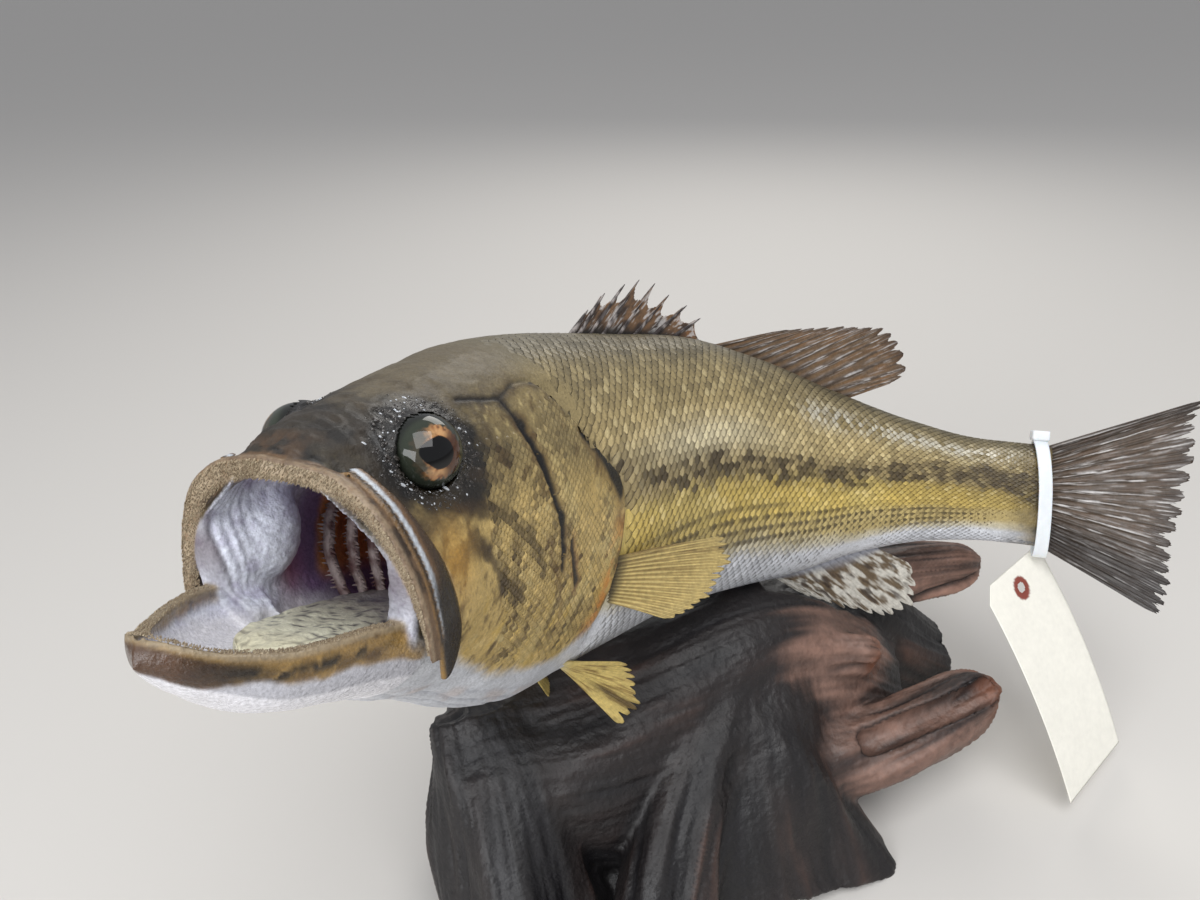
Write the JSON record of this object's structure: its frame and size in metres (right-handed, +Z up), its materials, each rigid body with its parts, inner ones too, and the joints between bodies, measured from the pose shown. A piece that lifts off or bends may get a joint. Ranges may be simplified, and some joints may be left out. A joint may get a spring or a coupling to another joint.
{
  "type": "mounted fish model",
  "caption": "Life-size mounted largemouth bass with its mouth open, body turned to its left, standing on a piece of dark driftwood.",
  "frame": {"origin": "middle of the driftwood's flat underside, on the surface it stands on", "axes": "+Z up; +X from the fish's head toward its tail along the mount; the fish's left side faces -Y"},
  "size_m": [0.4901, 0.2108, 0.2988],
  "materials": {
    "head_skin": "dark olive head under a thick gloss varnish",
    "jaw_rim": "tan toothed lip, rough like fine sandpaper",
    "jaw_skin": "golden brown lip over a white throat, varnished",
    "mouth_lining": "dried folded lining, matte",
    "gill": "dark dried gill arches with rakers",
    "cheek_skin": "golden olive with dark streaks, varnished",
    "eye": "glass eye with a copper iris and a black pupil",
    "body_skin": "scaled skin, olive above, gold below the stripe, white belly, varnished",
    "dark_fin": "dark brown membrane with darker rays, varnished",
    "pale_fin": "white and brown mottled membrane, varnished",
    "gold_fin": "thin golden membrane with rays, varnished",
    "driftwood": "dark weathered root with a satin finish",
    "nylon": "white nylon",
    "card": "plain cream card"
  },
  "bodies": {
    "root": {"head": "head_skin", "upper_jaw": "jaw_rim", "maxilla_left": "jaw_rim", "maxilla_right": "jaw_rim", "lower_jaw": "jaw_skin", "tongue": "mouth_lining", "gill_arches_left": "gill", "gill_arches_right": "gill", "gill_cover_left": "cheek_skin", "gill_cover_right": "cheek_skin", "eye_left": "eye", "eye_right": "eye", "trunk": "body_skin", "tail_stem": "body_skin", "dorsal_fin_spiny": "dark_fin", "dorsal_fin_soft": "dark_fin", "anal_fin": "pale_fin", "tail_fin": "dark_fin", "pectoral_fin_left": "gold_fin", "pectoral_fin_right": "gold_fin", "pelvic_fin_left": "gold_fin", "pelvic_fin_right": "gold_fin", "driftwood": "driftwood", "cable_tie": "nylon", "tag": "card"}
  },
  "joints": []
}
